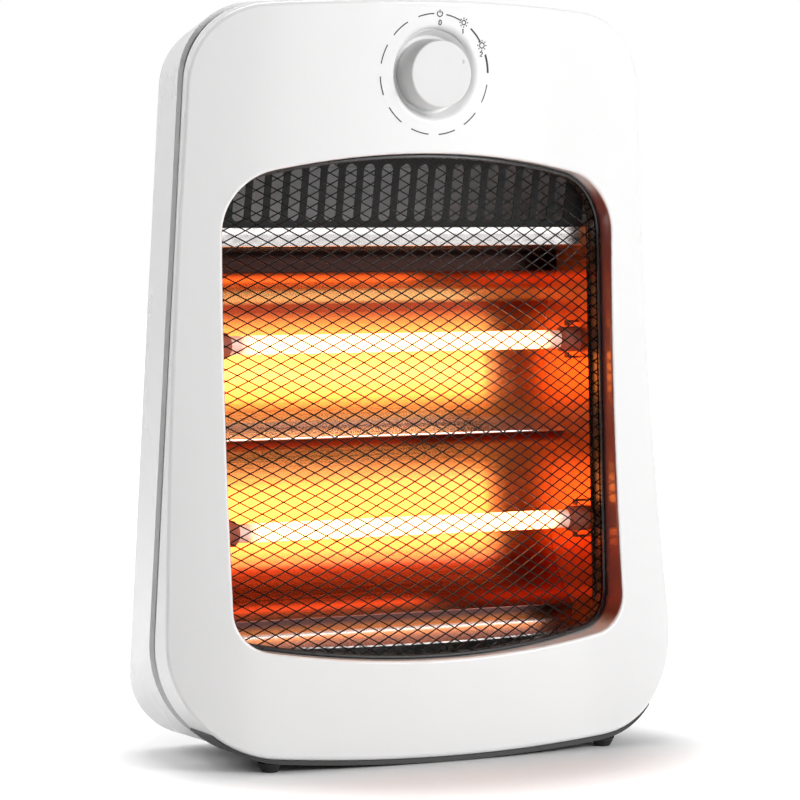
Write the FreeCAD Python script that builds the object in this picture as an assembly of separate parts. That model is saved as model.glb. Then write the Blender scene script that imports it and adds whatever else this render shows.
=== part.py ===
import FreeCAD, Part
import math
import os

# Free-standing quartz heater, in millimetres. +Z is up and the front faces -Y.
# The origin is on the floor, below the middle of the width and of the depth.
# A "depth" is a distance behind the toe, the foremost point of the front panel.

V = FreeCAD.Vector
RIGHT = V(1, 0, 0)
BACK = V(0, 1, 0)
UP = V(0, 0, 1)

# Driving sizes
DEPTH = 112.0               # toe of the panel to the flat of the casing's back
WINDOW_HALF = 108.0         # half width of the window
SIDE_MARGIN = 36.2          # window's side to the panel's side line at the floor

# Shells
WALL = 2.4                  # moulded wall
SEAM_DEPTH = 0.375 * DEPTH  # back edge of the front panel
SEAM_WIDTH = 4.5            # width of the recessed seam
SEAM_TONGUE = 1.2           # frame's reach inside the panel and the casing
SEAM_STEP = 1.4             # how far the seam lies below the panel's side
HALF_AT_FLOOR = WINDOW_HALF + SIDE_MARGIN  # half width of the side lines carried down to the floor
SIDE_TAPER = 0.0572         # narrowing of each side per unit of height
PANEL_BASE = 2.7            # lowest point of the arched lower edge
BASE_ARCH = 9.3             # rise of the lower edge out to its corners
PANEL_TOP = 375.5           # highest point of the arched upper edge
TOP_ARCH = 6.0              # fall of the upper edge out to its corners
LOWER_CORNER = 54.0
UPPER_CORNER = 40.0
CASING_PROUD = 1.2          # how far the casing stands out past the panel
CASING_DRAW = 14.5          # how far each side draws in from the seam to the back
CASING_FALL = 10.0          # how far the top falls from the seam to the back
CASING_LOWER_CORNER = 24.0  # at the back
CASING_UPPER_CORNER = 32.0  # at the back
CASING_ROUND = 20.0         # rounding of the back's edge
EDGE_ROUND = 2.0            # rounding of the panel's outer edge

# Bowed front face
FACE_SETBACK = 0.155 * DEPTH   # depth of the face at its top, on the middle line
FACE_HOLLOW = 0.103 * DEPTH    # hollow of the face at half height
FACE_BOW_BASE = 0.065 * DEPTH  # fall of the face out to the window's side, at the floor
FACE_BOW_TOP = 0.116 * DEPTH   # the same at the top
EDGE_ROLL = 0.058 * DEPTH      # extra fall towards the side edge, at the floor
EDGE_ROLL_POWER = 8

# Window and grille
WINDOW_BASE = 50.0
WINDOW_BASE_ARCH = 10.5
WINDOW_TOP = 300.0
WINDOW_TOP_ARCH = 14.9
WINDOW_LOWER_CORNER = 20.0
WINDOW_UPPER_CORNER = 32.0
WINDOW_ROUND = 1.5
GRILLE_DEPTH = 0.107 * DEPTH    # depth of the rim's front at the floor, on the middle line
GRILLE_LEAN = 0.000418 * DEPTH  # backward lean per unit of height
GRILLE_BOW = 0.18 * DEPTH       # fall of the rim's front out to the window's side
GRILLE_RADIUS = (WINDOW_HALF ** 2 + GRILLE_BOW ** 2) / (2 * GRILLE_BOW)
RIM_GAP = 0.4               # between the window's wall and the rim
RIM_WIDTH = 1.8
RIM_BEAD = 6.0              # depth of the rim's bead
RIM_BEVEL = 0.5
RIM_FLANGE = 1.0            # thickness of the flange behind the bead
RIM_FLANGE_REACH = 2.2      # how far the flange laps behind the window's wall
RIM_SKIRT = 0.085 * DEPTH   # depth of the rim's side walls
RIM_SKIRT_WALL = 1.0
RIM_SKIRT_FROM = WINDOW_HALF - 7.0  # side walls lie outside this half width
MESH_SET = 2.2              # mesh behind the rim's front
MESH_STRAND = 0.55          # width of a strand
MESH_LAYER_GAP = 0.03       # half the gap between the two layers
MESH_BEND = 26.0            # run between two bends of a strand
MESH_PITCH_X = 10.3
MESH_PITCH_Z = 5.65
GROOVE_DEEP = 1.2           # groove inside the rim for the ends of the mesh
GROOVE_HALF = 0.8

# Knob, dish and switch
KNOB_Z = 339.0
KNOB_FACE_RADIUS = 16.4
KNOB_BASE_RADIUS = 17.8
KNOB_STAND = 7.0            # knob's face in front of the panel
KNOB_EDGE = 0.9
KNOB_RECESS_RADIUS = 14.0
KNOB_RECESS = 5.0
DIMPLE_RADIUS = 1.3
DIMPLE_OUT = 13.0           # dimple's distance from the knob's axis
DIMPLE_SINK = 0.7           # sphere's centre in front of the knob's face
DIMPLE_ANGLE = 62.0         # clockwise from the top
DISH_RADIUS = 23.0
DISH_FLOOR_RADIUS = 19.4
DISH_DEPTH = 7.0
DISH_ROUND = 2.5
KNOB_CLEAR = 0.4            # knob above the dish's floor
SHAFT_RADIUS = 3.0
SHAFT_FLAT = 2.2            # flat of the shaft from its axis
RUNNING_FIT = 0.06          # radial clearance of a turning or sliding fit
FIXED_FIT = 0.1             # clearance of pieces that don't move on each other
BUSH_RADIUS = 4.5
BUSH_STAND = 3.8            # bush in front of the dish's floor
NUT_ACROSS = 13.0
NUT_THICK = 2.2
SWITCH_WIDTH = 27.0
SWITCH_HEIGHT = 25.0
SWITCH_DEPTH = 16.0

# Reflector and heating tubes
TUBE_RADIUS = 4.75
TUBE_BORE = 3.6
COIL_RADIUS = 2.6
TUBE_LOWER_DEPTH = 0.469 * DEPTH
TUBE_LOWER_Z = 112.5
TUBE_UPPER_DEPTH = 0.554 * DEPTH
TUBE_UPPER_Z = 205.0
END_X = WINDOW_HALF - 4.0   # inner face of an end plate
TUBE_HALF = END_X - 5.0
TROUGH_BEHIND = 0.348 * DEPTH  # back of the reflector behind the row of tubes
RIDGE_HEIGHT = 0.1875 * DEPTH  # ridge and outer folds in front of the reflector's back
UPPER_DROP = 4.5            # middle of the upper trough below its tube
UPPER_STAND = 0.027 * DEPTH  # bottom of the upper trough in front of the reflector's back
LOWER_LIFT = 1.0            # middle of the lower trough above its tube
LOWER_STAND = 0.009 * DEPTH
SHEET = 0.7                 # reflector sheet
PLATE = 0.8                 # end plates and vent plate
LIP_DEPTH = 0.509 * DEPTH
LIP_BASE = 254.5
LIP_TOP = 263.0
SHELF_DROP = 6.5            # fold below the lower trough
SHELF_RISE = 2.0            # fall of the shelf towards the front
SHEET_GAP = 0.3             # between the sheet parts and what they seat on
END_BACK = 2.5              # end plate behind the troughs' bottoms
CAP_RADIUS = 6.5
CAP_NOSE = 11.0             # cap inside the end plate
CAP_NECK_RADIUS = 4.6
CAP_HEAD_RADIUS = 5.6
CAP_HEAD = 7.6
CAP_BEVEL = 1.6
CAP_BORE_DEPTH = 7.0
PIN_RADIUS = 1.4
CLIP_WIDTH = 4.0
CLIP_REACH = 6.0
CLIP_HOOK = 2.4
CLIP_STAND = 2.8            # clip outside the cap's surface
EAR_WIDTH = 12.0
EAR_OUT = END_X + 17.0
EAR_SCREW_X = END_X + 13.0
EAR_HEIGHTS = (140.0, 242.0)
POST_RADIUS = 4.0
PILOT_RADIUS = 1.25
VENT_SLOT_WIDTH = 6.4
VENT_SLOT_PITCH = 10.0
VENT_SLOTS = int((2 * END_X - VENT_SLOT_PITCH) / VENT_SLOT_PITCH)
VENT_TOP = 298.0
VENT_TOP_DEPTH = 0.455 * DEPTH
VENT_MARGIN = 3.0

# Back of the casing
SCREW_CORNERS = ((WINDOW_HALF - 13.0, 338.0), (WINDOW_HALF - 8.0, 34.0))
BOSS_RADIUS = 4.8
WELL_RADIUS = 3.8
WELL_FLOOR_DEPTH = 0.59 * DEPTH
SCREW_RADIUS = 1.5
SCREW_HEAD_RADIUS = 3.2
SCREW_HEAD = 2.4
SCREW_REACH = 14.0          # screw in front of the boss's face
BACK_SLOT_WIDTH = 56.0
BACK_SLOT_HEIGHT = 4.5
BACK_SLOT_PITCH = 10.0
BACK_SLOT_COLUMN = 34.0
BACK_SLOT_ROWS = ((180.0, 7), (80.0, 6))
GRIP_HALF = 46.0
GRIP_BASE = 296.0
GRIP_TOP = 324.0
GRIP_DEEP = 22.0
GRIP_ROUND = 7.0
GLAND_X = 60.0
GLAND_Z = 46.0
GLAND_RADIUS = 5.5
GLAND_BORE = 3.6
GLAND_FLANGE_RADIUS = 8.0
GLAND_FLANGE = 2.6
GLAND_LENGTH = 8.0

# Base, feet and tip-over switch
BASE_THICK = 2.3
BASE_STEP = 0.2             # rear part of the base plate inside the lip's thickness
BASE_DRAW = 1.9             # narrowing that thins the lip towards its ends
BASE_LIP_HALF = HALF_AT_FLOOR - 22.0
BASE_INSET = 1.5            # base plate's front edge behind the face
BASE_END_DEPTH = DEPTH - 12.0
FOOT_FRONT_X = WINDOW_HALF - 15.3
FOOT_REAR_X = FOOT_FRONT_X - 32.7
BASE_HALF = FOOT_REAR_X + 13.0  # rear part of the base plate
FOOT_FRONT_DEPTH = 0.116 * DEPTH
FOOT_REAR_DEPTH = BASE_END_DEPTH - 14.0
FOOT_ROUND = 0.5
FOOT_TOP_RADIUS = 6.6
FOOT_BOTTOM_RADIUS = 3.8
FOOT_PEG_RADIUS = 2.4
FOOT_HEIGHT = 5.6
TIP_X = 40.0
TIP_DEPTH = 0.643 * DEPTH
PLUNGER_RADIUS = 4.0
PLUNGER_FLANGE_RADIUS = 5.8
PLUNGER_FLANGE_Z = 16.0
PLUNGER_FLANGE = 2.0
PLUNGER_STEM_RADIUS = 2.5
PLUNGER_TOP = 37.0
TIP_HOUSING_RADIUS = 8.5
TIP_HOUSING_BORE = 6.4
TIP_HOUSING_Z = 6.4
TIP_HOUSING_TOP = 28.0
TIP_HOUSING_ROOF = 2.0
SPRING_RADIUS = 4.6
LEVER_GAP = 0.3             # lever above the plunger at rest
LEVER_THICK = 0.5
LEVER_HALF = 1.9            # half width
LEVER_TAIL = 4.0            # lever past the plunger's axis
LEVER_ARM = 12.0            # plunger's axis to the lever's pin
LEVER_EYE_RADIUS = 1.3
LEVER_PIN_RADIUS = 0.6
MICRO_HALF = 3.2
MICRO_HEIGHT = 10.0
MICRO_LUG = 1.0

# Small fittings
CUTOUT_RADIUS = 8.0
CUTOUT_THICK = 7.0
CUTOUT_DEPTH = 0.7 * DEPTH
CUTOUT_Z = 160.0
TERMINAL_X = -40.0
TERMINAL_DEPTH = 0.714 * DEPTH
TERMINAL_LENGTH = 32.0
TERMINAL_WIDTH = 16.0
TERMINAL_HEIGHT = 13.0
TERMINAL_POLES = 3
TERMINAL_WELL = 2.2

# Room beyond the object for cutting blocks
BEYOND = 20.0
BLOCK_HALF = HALF_AT_FLOOR + 6.0


def at(x, depth, z):
    """Point at a distance behind the toe."""
    return V(x, depth - DEPTH / 2, z)


def rod_x(radius, x0, x1, depth, z):
    return Part.makeCylinder(radius, x1 - x0, at(x0, depth, z), RIGHT)


def rod_y(radius, depth0, depth1, x, z):
    return Part.makeCylinder(radius, depth1 - depth0, at(x, depth0, z), BACK)


def rod_z(radius, z0, z1, x, depth):
    return Part.makeCylinder(radius, z1 - z0, at(x, depth, z0), UP)


def block(x0, x1, depth0, depth1, z0, z1):
    return Part.makeBox(x1 - x0, depth1 - depth0, z1 - z0, at(x0, depth0, z0))


def line(start, end):
    return Part.LineSegment(start, end).toShape()


def closed_face(points):
    return Part.Face(Part.makePolygon(points + points[:1]))


def mirrored(shape):
    """Copy of a shape on the other side of the middle plane."""
    return shape.mirror(V(0, 0, 0), RIGHT)


def turned_y(profile, x, z):
    """Solid of revolution about an axis along Y; the profile is a list of (radius, depth)."""
    points = [at(x + radius, depth, z) for radius, depth in profile]
    return closed_face(points).revolve(at(x, 0, z), BACK, 360)


def outline(half_at_floor, taper, base, base_arch, top, top_arch, lower_corner, upper_corner):
    """Outline in the plane y = 0: tapering sides, arched top and base, rounded corners."""
    base_z = base + base_arch
    top_z = top - top_arch
    base_half = half_at_floor - taper * base_z
    top_half = half_at_floor - taper * top_z
    corners = [V(-base_half, 0, base_z), V(base_half, 0, base_z),
               V(top_half, 0, top_z), V(-top_half, 0, top_z)]
    edges = [
        Part.Arc(corners[0], V(0, 0, base), corners[1]).toShape(),
        line(corners[1], corners[2]),
        Part.Arc(corners[2], V(0, 0, top), corners[3]).toShape(),
        line(corners[3], corners[0]),
    ]
    slab = Part.Face(Part.Wire(edges)).extrude(BACK)
    middle = (base + top) / 2
    for radius, is_lower in ((lower_corner, True), (upper_corner, False)):
        sharp = [edge for edge in slab.Edges
                 if len(edge.Vertexes) == 2
                 and abs(edge.Vertexes[0].X - edge.Vertexes[1].X) < 1e-6
                 and abs(edge.Vertexes[0].Z - edge.Vertexes[1].Z) < 1e-6
                 and any((edge.Vertexes[0].Point - corner).Length < 1.5
                         for corner in corners if (corner.z < middle) == is_lower)]
        slab = slab.makeFillet(radius, sharp)
    return min(slab.Faces, key=lambda face: face.CenterOfMass.y).OuterWire


def moved_back(wire, depth):
    placed = wire.copy()
    placed.translate(at(0, depth, 0))
    return placed


def prism(wire, depth0, depth1):
    return Part.Face(moved_back(wire, depth0)).extrude(V(0, depth1 - depth0, 0))


def ring(outer, inner, depth0, depth1):
    return prism(outer, depth0, depth1).cut(prism(inner, depth0, depth1))


def face_depth(x, z):
    """Depth of the panel's bowed and hollowed front face."""
    rise = z / PANEL_TOP
    half = HALF_AT_FLOOR - SIDE_TAPER * z
    bow = FACE_BOW_BASE + (FACE_BOW_TOP - FACE_BOW_BASE) * rise
    roll = EDGE_ROLL * (1 - rise) ** 2
    middle = FACE_SETBACK * rise + 4 * FACE_HOLLOW * rise * (1 - rise)
    return middle + bow * (x / WINDOW_HALF) ** 2 + roll * abs(x / half) ** EDGE_ROLL_POWER


def behind_face(inset):
    """Everything behind the front face, set back by the inset."""
    levels = 9
    across = 17
    sections = []
    for level in range(levels):
        z = -BEYOND + (PANEL_TOP + 2 * BEYOND) * level / (levels - 1)
        xs = [BLOCK_HALF * (2 * step / (across - 1) - 1) for step in range(across)]
        points = [at(x, face_depth(x, z) + inset, z) for x in xs]
        curve = Part.BSplineCurve()
        curve.interpolate(points)
        back_left = at(-BLOCK_HALF, DEPTH, z)
        back_right = at(BLOCK_HALF, DEPTH, z)
        sides = [line(points[-1], back_right), line(back_right, back_left), line(back_left, points[0])]
        sections.append(Part.Wire([curve.toShape()] + sides))
    return Part.makeLoft(sections, True)


def grille_depth(x, z):
    """Depth of the rim's front: an arc in plan that leans back."""
    return GRILLE_DEPTH + GRILLE_LEAN * z + GRILLE_RADIUS - math.sqrt(GRILLE_RADIUS ** 2 - x ** 2)


def grille_layer(front, back):
    """Block between two copies of the grille's bowed surface."""
    edges = []
    arcs = []
    for offset in (front, back):
        arcs.append([at(x, grille_depth(x, -BEYOND) + offset, -BEYOND) for x in (-BLOCK_HALF, 0, BLOCK_HALF)])
    edges.append(Part.Arc(*arcs[0]).toShape())
    edges.append(line(arcs[0][2], arcs[1][2]))
    edges.append(Part.Arc(arcs[1][2], arcs[1][1], arcs[1][0]).toShape())
    edges.append(line(arcs[1][0], arcs[0][0]))
    height = PANEL_TOP + 2 * BEYOND
    return Part.Face(Part.Wire(edges)).extrude(V(0, GRILLE_LEAN * height, height))


def base_curve(x):
    """Height of the arched underside of the shells."""
    half = HALF_AT_FLOOR - SIDE_TAPER * (PANEL_BASE + BASE_ARCH)
    return PANEL_BASE + BASE_ARCH * (x / half) ** 2


def above_base(drop, half, depth0, depth1, height):
    """Block above the arched underside, lowered by the drop."""
    ends = [at(-half, depth0, base_curve(half) - drop), at(half, depth0, base_curve(half) - drop)]
    arch = Part.Arc(ends[0], at(0, depth0, base_curve(0) - drop), ends[1]).toShape()
    tops = [at(half, depth0, height), at(-half, depth0, height)]
    wire = Part.Wire([arch, line(ends[1], tops[0]), line(tops[0], tops[1]), line(tops[1], ends[0])])
    return Part.Face(wire).extrude(V(0, depth1 - depth0, 0))


def obround(x, z, width, height, depth0, depth1):
    """Slot with round ends; the long side lies along the larger of width and height."""
    radius = min(width, height) / 2
    run_x = width / 2 - radius
    run_z = height / 2 - radius
    ends = [rod_y(radius, depth0, depth1, x + sign * run_x, z + sign * run_z) for sign in (-1, 1)]
    body = block(x - max(run_x, radius if run_z else 0), x + max(run_x, radius if run_z else 0),
                 depth0, depth1,
                 z - max(run_z, radius if run_x else 0), z + max(run_z, radius if run_x else 0))
    return body.fuse(ends)


panel_outline = outline(HALF_AT_FLOOR, SIDE_TAPER, PANEL_BASE, BASE_ARCH, PANEL_TOP, TOP_ARCH,
                        LOWER_CORNER, UPPER_CORNER)
window_outline = outline(WINDOW_HALF, 0, WINDOW_BASE, WINDOW_BASE_ARCH, WINDOW_TOP, WINDOW_TOP_ARCH,
                         WINDOW_LOWER_CORNER, WINDOW_UPPER_CORNER)
rim_outer = window_outline.makeOffset2D(-RIM_GAP)
rim_inner = window_outline.makeOffset2D(-RIM_GAP - RIM_WIDTH)
flange_back = RIM_BEAD + RIM_FLANGE
behind_panel = behind_face(0)
behind_wall = behind_face(WALL)
in_front_of_sheet = grille_layer(-DEPTH, flange_back + SHEET_GAP)
in_front_of_ends = grille_layer(-DEPTH, RIM_SKIRT + SHEET_GAP)

knob_face_depth = face_depth(0, KNOB_Z) - KNOB_STAND
dish_floor = face_depth(0, KNOB_Z) + DISH_DEPTH
dish_back = dish_floor + WALL
casing_front = SEAM_DEPTH + SEAM_WIDTH
boss_face = casing_front - SHEET_GAP
ear_seats = {z: grille_depth(WINDOW_HALF, z) + RIM_SKIRT + SHEET_GAP for z in EAR_HEIGHTS}


def both_sides(x):
    return (-x, x)


def front_panel():
    body = prism(panel_outline, -BEYOND, SEAM_DEPTH).common(behind_panel)
    front = max(body.Faces, key=lambda face: face.Area)
    body = body.makeFillet(EDGE_ROUND, front.OuterWire.Edges)
    dish = dish_cone(0, 2 * DISH_DEPTH)
    dish_shell = dish_cone(WALL, DISH_DEPTH)
    hollow = prism(panel_outline.makeOffset2D(-WALL), -BEYOND, SEAM_DEPTH + BEYOND).common(behind_wall)
    body = body.cut(hollow.cut(dish_shell)).cut(dish)
    mouth = [edge for edge in body.Edges if on_face(edge) and edge.BoundBox.ZMin > WINDOW_TOP
             and edge.BoundBox.XLength < 3 * DISH_RADIUS]
    body = body.makeFillet(DISH_ROUND, mouth)

    collar = ring(window_outline.makeOffset2D(WALL), window_outline, -BEYOND, DEPTH)
    collar = collar.common(behind_face(WALL / 2)).common(grille_layer(-DEPTH, RIM_BEAD))
    posts = []
    for side in (-1, 1):
        for z in EAR_HEIGHTS:
            posts.append(rod_y(POST_RADIUS, 0, ear_seats[z], side * EAR_SCREW_X, z))
        for x, z in SCREW_CORNERS:
            posts.append(rod_y(BOSS_RADIUS, 0, boss_face, side * x, z))
    inside = Part.makeCompound(posts).common(behind_face(WALL / 2))
    body = body.cut(prism(window_outline, -BEYOND, DEPTH))
    body = body.fuse([collar] + inside.Solids).removeSplitter()
    rim_edges = [edge for edge in body.Edges if on_window_mouth(edge)]
    body = body.makeFillet(WINDOW_ROUND, rim_edges)
    body = body.cut(rod_y(BUSH_RADIUS + FIXED_FIT, -BEYOND, DEPTH, 0, KNOB_Z))
    for side in (-1, 1):
        for z in EAR_HEIGHTS:
            pilot_start = ear_seats[z] - SCREW_REACH
            body = body.cut(rod_y(PILOT_RADIUS + FIXED_FIT, pilot_start, DEPTH, side * EAR_SCREW_X, z))
        for x, z in SCREW_CORNERS:
            body = body.cut(rod_y(SCREW_RADIUS + FIXED_FIT, boss_face - SCREW_REACH, DEPTH, side * x, z))
    return body


def dish_cone(extra, height):
    """Cone of the knob's dish, from its floor towards the front; extra gives the wall round it."""
    floor = dish_floor + extra
    radius = DISH_FLOOR_RADIUS + extra
    flare = (DISH_RADIUS - DISH_FLOOR_RADIUS) / DISH_DEPTH
    mouth = floor - height
    return turned_y([(0, floor), (radius, floor), (radius + flare * height, mouth), (0, mouth)], 0, KNOB_Z)


def edge_middle(edge):
    return edge.valueAt((edge.FirstParameter + edge.LastParameter) / 2)


def on_face(edge):
    """True for an edge that lies in the panel's front face."""
    middle = edge_middle(edge)
    return abs(middle.y + DEPTH / 2 - face_depth(middle.x, middle.z)) < 0.2


def on_window_mouth(edge):
    """True for the edges where the window's wall meets the front face."""
    middle = edge_middle(edge)
    return on_face(edge) and window_outline.distToShape(Part.Vertex(middle.x, 0, middle.z))[0] < 0.05


def casing_shape(inset, front, back, rounding):
    """Tapered tub between the seam and the back, with a rounded back edge."""
    proud = CASING_PROUD - inset
    draw = CASING_DRAW * (back - casing_front) / (DEPTH - casing_front)
    fall = CASING_FALL * (back - casing_front) / (DEPTH - casing_front)
    at_front = outline(HALF_AT_FLOOR + proud, SIDE_TAPER, PANEL_BASE + inset, BASE_ARCH,
                       PANEL_TOP + proud, TOP_ARCH, LOWER_CORNER - inset, UPPER_CORNER - inset)
    at_back = outline(HALF_AT_FLOOR + proud - draw, SIDE_TAPER, PANEL_BASE + inset, BASE_ARCH,
                      PANEL_TOP + proud - fall, TOP_ARCH,
                      CASING_LOWER_CORNER - inset, CASING_UPPER_CORNER - inset)
    tub = Part.makeLoft([moved_back(at_front, front), moved_back(at_back, back)], True, True)
    rear = max(tub.Faces, key=lambda face: face.CenterOfMass.y)
    return tub.makeFillet(rounding, rear.Edges)


def rear_casing():
    shell = casing_shape(0, casing_front, DEPTH, CASING_ROUND)
    hollow = casing_shape(WALL, casing_front, DEPTH - WALL, CASING_ROUND - WALL)
    grip = rounded_pocket(0)
    hollow = hollow.cut(rounded_pocket(WALL))
    shell = shell.cut(hollow).cut(grip)
    solid_shape = casing_shape(WALL / 2, casing_front, DEPTH - WALL / 2, CASING_ROUND - WALL / 2)
    bosses = [rod_y(BOSS_RADIUS, casing_front, DEPTH, side * x, z)
              for side in (-1, 1) for x, z in SCREW_CORNERS]
    shell = shell.fuse(Part.makeCompound(bosses).common(solid_shape).Solids)
    for side in (-1, 1):
        for x, z in SCREW_CORNERS:
            shell = shell.cut(rod_y(WELL_RADIUS, WELL_FLOOR_DEPTH, DEPTH + BEYOND, side * x, z))
            shell = shell.cut(rod_y(SCREW_RADIUS + FIXED_FIT, 0, DEPTH, side * x, z))
    slots = []
    for first_z, rows in BACK_SLOT_ROWS:
        for row in range(rows):
            for x in both_sides(BACK_SLOT_COLUMN):
                slots.append(obround(x, first_z + row * BACK_SLOT_PITCH, BACK_SLOT_WIDTH, BACK_SLOT_HEIGHT,
                                     DEPTH - 2 * WALL, DEPTH + BEYOND))
    shell = shell.cut(slots)
    shell = shell.cut(rod_y(GLAND_RADIUS + FIXED_FIT, DEPTH - GLAND_LENGTH, DEPTH + BEYOND, GLAND_X, GLAND_Z))
    return shell.cut(rod_z(PLUNGER_RADIUS + 6 * FIXED_FIT, -BEYOND, TIP_HOUSING_Z, TIP_X, TIP_DEPTH))


def rounded_pocket(extra):
    """Finger recess in the back; extra gives the wall round it."""
    pocket = block(-GRIP_HALF - extra, GRIP_HALF + extra, DEPTH - GRIP_DEEP - extra, DEPTH + BEYOND,
                   GRIP_BASE - extra, GRIP_TOP + extra)
    front_edges = [edge for edge in pocket.Edges if edge.BoundBox.YMin < at(0, DEPTH - 1, 0).y]
    return pocket.makeFillet(GRIP_ROUND + extra, front_edges)


def seam_frame():
    tongue = ring(panel_outline.makeOffset2D(-WALL - FIXED_FIT), panel_outline.makeOffset2D(-2 * WALL),
                  SEAM_DEPTH - SEAM_TONGUE, casing_front + SEAM_TONGUE)
    shoulder = ring(panel_outline.makeOffset2D(-SEAM_STEP), panel_outline.makeOffset2D(-2 * WALL),
                    SEAM_DEPTH, casing_front)
    return tongue.fuse(shoulder).removeSplitter()


def base_plate():
    """Lip under the panel that thins out round its corners, and a plate under the casing."""
    lip_arch = BASE_ARCH * (1 - BASE_DRAW / HALF_AT_FLOOR) ** 2
    lip_outline = outline(HALF_AT_FLOOR - BASE_DRAW, SIDE_TAPER, PANEL_BASE - BASE_THICK, lip_arch,
                          PANEL_TOP, TOP_ARCH, LOWER_CORNER, UPPER_CORNER)
    cover = prism(panel_outline, -2 * BEYOND, 2 * DEPTH)
    cover.translate(V(0, 0, -FIXED_FIT))
    lip = prism(lip_outline, -BEYOND, SEAM_DEPTH).cut(cover).common(behind_face(BASE_INSET))
    lip = lip.common(block(-BASE_LIP_HALF, BASE_LIP_HALF, 0, SEAM_DEPTH, -BEYOND, PANEL_TOP / 4))
    plate = above_base(BASE_THICK - BASE_STEP, BASE_HALF, SEAM_DEPTH - WALL, BASE_END_DEPTH, PANEL_TOP)
    plate = plate.cut(above_base(FIXED_FIT + BASE_STEP, 2 * BASE_HALF, 0, DEPTH, 2 * PANEL_TOP))
    plate = lip.fuse(plate).removeSplitter()
    for side in (-1, 1):
        for x, depth in ((FOOT_FRONT_X, FOOT_FRONT_DEPTH), (FOOT_REAR_X, FOOT_REAR_DEPTH)):
            plate = plate.cut(rod_z(FOOT_PEG_RADIUS + FIXED_FIT, -BEYOND, BEYOND, side * x, depth))
    return plate.cut(rod_z(PLUNGER_RADIUS + RUNNING_FIT, -BEYOND, BEYOND, TIP_X, TIP_DEPTH))


def foot(side, x, depth):
    cone = Part.makeCone(FOOT_BOTTOM_RADIUS, FOOT_TOP_RADIUS, FOOT_HEIGHT, at(x, depth, 0), UP)
    cone = cone.cut(above_base(BASE_THICK + FIXED_FIT, BASE_LIP_HALF, 0, DEPTH, PANEL_TOP))
    bottom = min(cone.Faces, key=lambda face: face.CenterOfMass.z)
    cone = cone.makeFillet(FOOT_ROUND, bottom.Edges)
    peg = rod_z(FOOT_PEG_RADIUS, FOOT_ROUND, base_curve(x) - 2 * FIXED_FIT, x, depth)
    whole = cone.fuse(peg).removeSplitter()
    return whole if side > 0 else mirrored(whole)


def grille_rim():
    """Bead with a flange and side walls behind it, and a groove inside for the ends of the mesh."""
    flange_outline = window_outline.makeOffset2D(RIM_FLANGE_REACH)
    rim = ring(flange_outline, rim_inner, -BEYOND, DEPTH).common(grille_layer(0, flange_back))
    step = ring(window_outline.makeOffset2D(2 * RIM_FLANGE_REACH), rim_outer, -BEYOND, DEPTH)
    rim = rim.cut(step.common(grille_layer(-DEPTH, RIM_BEAD)))
    rim = rim.makeChamfer(RIM_BEVEL, [edge for edge in rim.Edges if on_rim_front(edge)])
    skirt = ring(rim_inner.makeOffset2D(RIM_SKIRT_WALL), rim_inner, -BEYOND, DEPTH)
    skirt = skirt.common(grille_layer(flange_back - RIM_FLANGE / 2, RIM_SKIRT))
    skirt = skirt.cut(block(-RIM_SKIRT_FROM, RIM_SKIRT_FROM, 0, DEPTH, 0, PANEL_TOP))
    rim = rim.fuse(skirt.Solids).removeSplitter()
    groove = prism(rim_inner.makeOffset2D(GROOVE_DEEP), -BEYOND, DEPTH)
    return rim.cut(groove.common(grille_layer(MESH_SET - GROOVE_HALF, MESH_SET + GROOVE_HALF)))


def on_rim_front(edge):
    middle = edge_middle(edge)
    along = edge.Vertexes[0].Point - edge.Vertexes[-1].Point
    crosses = len(edge.Vertexes) == 2 and abs(along.x) < 1e-6 and abs(along.z) < 1e-6
    return not crosses and abs(middle.y + DEPTH / 2 - grille_depth(middle.x, middle.z)) < 0.05


def grille_mesh():
    """Two layers of bowed strands that cross as diamonds, with their ends in the rim's groove."""
    field = Part.Face(rim_inner.makeOffset2D(GROOVE_DEEP / 2))
    slope = MESH_PITCH_Z / MESH_PITCH_X
    spread = slope * WINDOW_HALF
    count = int((WINDOW_TOP - WINDOW_BASE + 2 * spread) / MESH_PITCH_Z)
    strands = []
    for sign in (-1, 1):
        set_back = MESH_SET + sign * (MESH_STRAND / 2 + MESH_LAYER_GAP)
        for step in range(count):
            z0 = WINDOW_BASE - spread + step * MESH_PITCH_Z
            whole = line(V(-WINDOW_HALF, 0, z0 - sign * spread), V(WINDOW_HALF, 0, z0 + sign * spread))
            span = whole.common(field)
            for piece in span.Edges:
                if piece.Length > MESH_PITCH_X:
                    strands.append(bent_strand(piece.Vertexes[0].Point, piece.Vertexes[-1].Point, set_back))
    return Part.makeCompound(strands)


def bent_strand(start, end, set_back):
    """Square strand over the grille's bow between two points of the plane y = 0."""
    run = end - start
    bends = max(2, round(run.Length / MESH_BEND))
    across = run.cross(BACK).normalize() * MESH_STRAND
    fronts = []
    for step in range(bends + 1):
        point = start + run * (step / bends) - across / 2
        fronts.append(at(point.x, grille_depth(point.x, point.z) + set_back - MESH_STRAND / 2, point.z))
    backs = [point + BACK * MESH_STRAND for point in reversed(fronts)]
    return closed_face(fronts + backs).extrude(across)


# The reflector leans with its tubes: "along" runs up the row of tubes, "out" to the front.
tube_row = at(0, TUBE_UPPER_DEPTH, TUBE_UPPER_Z) - at(0, TUBE_LOWER_DEPTH, TUBE_LOWER_Z)
half_row = tube_row.Length / 2
along = tube_row / tube_row.Length
out = V(0, -along.z, along.y)
row_middle = (at(0, TUBE_UPPER_DEPTH, TUBE_UPPER_Z) + at(0, TUBE_LOWER_DEPTH, TUBE_LOWER_Z)) / 2
row_back = row_middle - out * TROUGH_BEHIND


def on_row(distance_along, distance_out):
    return row_back + along * distance_along + out * distance_out


tubes = {"upper": (TUBE_UPPER_DEPTH, TUBE_UPPER_Z), "lower": (TUBE_LOWER_DEPTH, TUBE_LOWER_Z)}
sides = {"left": -1, "right": 1}


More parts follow.
